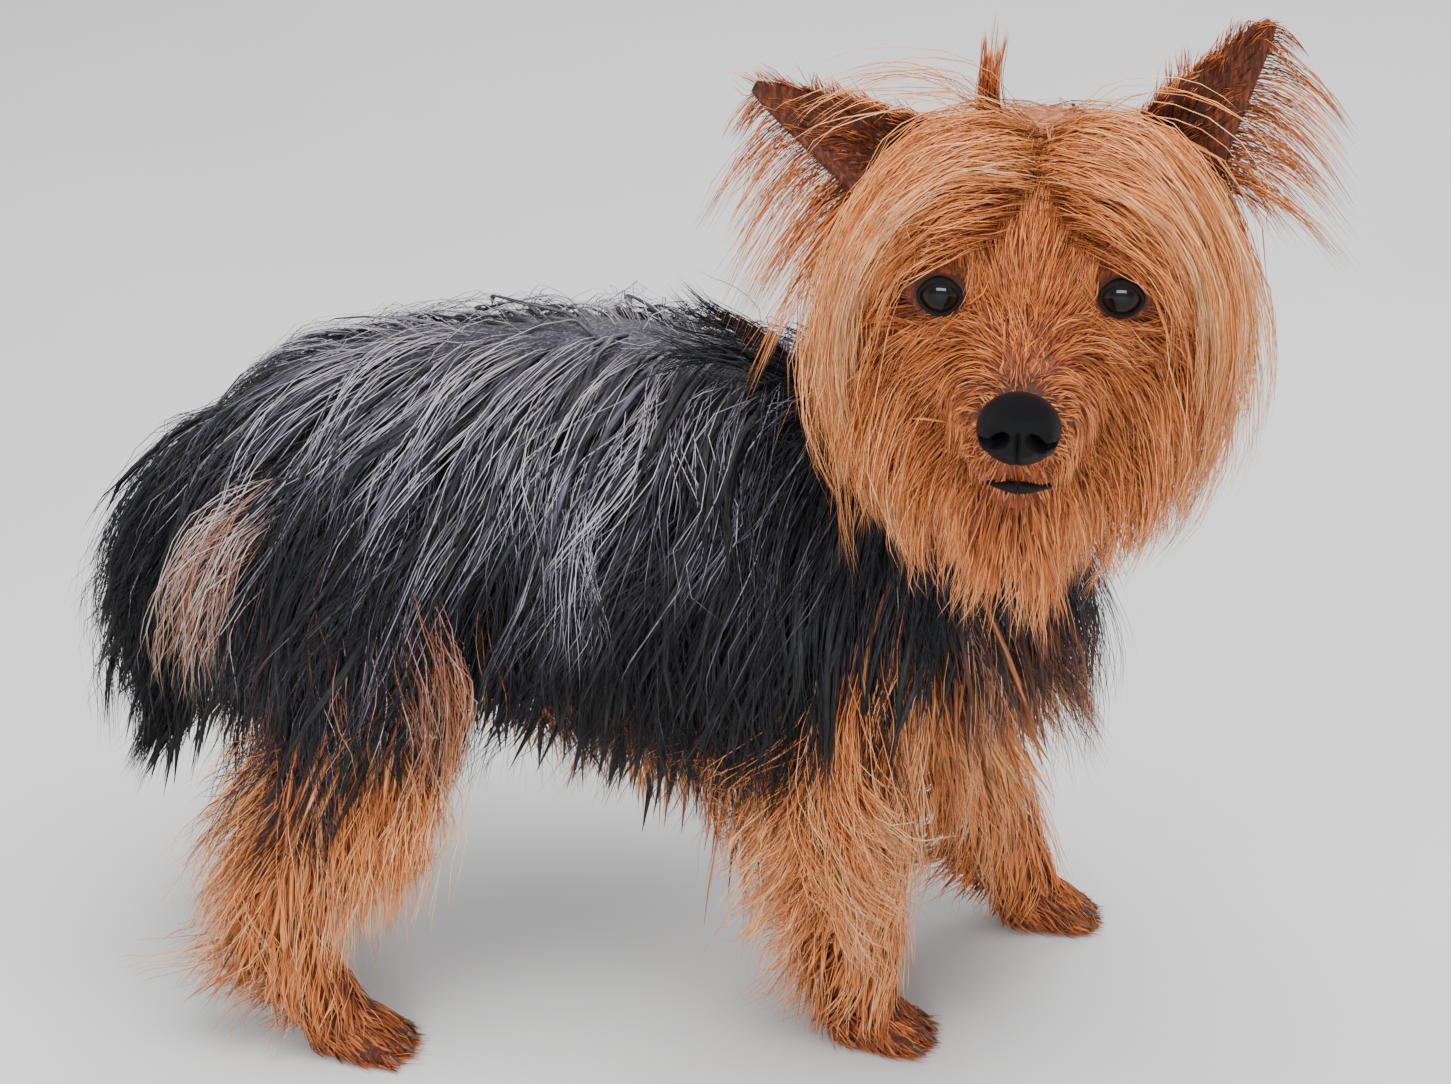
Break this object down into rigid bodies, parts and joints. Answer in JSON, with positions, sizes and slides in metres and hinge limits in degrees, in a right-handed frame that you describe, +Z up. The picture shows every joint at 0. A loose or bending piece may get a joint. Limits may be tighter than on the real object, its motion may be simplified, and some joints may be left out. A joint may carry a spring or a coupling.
{
  "type": "yorkshire terrier",
  "caption": "Still, life-size model of a small long-coated terrier, steel-black on the body and tan on the head and legs, standing with its head turned to its right.",
  "frame": {"origin": "on the floor, under the middle of the model's box", "axes": "+X the way the body faces, +Y to the dog's left, +Z up; the head is turned to the dog's right, towards -Y"},
  "size_m": [0.3447, 0.2005, 0.3228],
  "materials": {
    "coat_steel": "long hair, black with silver-grey strands",
    "coat_tan": "long hair, golden tan, paler at the tips",
    "ear_skin": "thin skin with short hair",
    "nose_leather": "fine-grained, slightly wet",
    "eye": "polished, very dark brown"
  },
  "bodies": {
    "root": {"head": "coat_tan", "jaw": "coat_tan", "neck": "coat_steel", "torso": "coat_steel", "tail": "coat_steel", "thigh_right": "coat_steel", "thigh_left": "coat_steel", "hindleg_right": "coat_tan", "hindleg_left": "coat_tan", "foreleg_right": "coat_tan", "foreleg_left": "coat_tan", "hindpaw_right": "coat_tan", "hindpaw_left": "coat_tan", "forepaw_right": "coat_tan", "forepaw_left": "coat_tan", "nose": "nose_leather", "eye_left": "eye", "eye_right": "eye", "ear_left": "ear_skin", "ear_right": "ear_skin"}
  },
  "joints": []
}
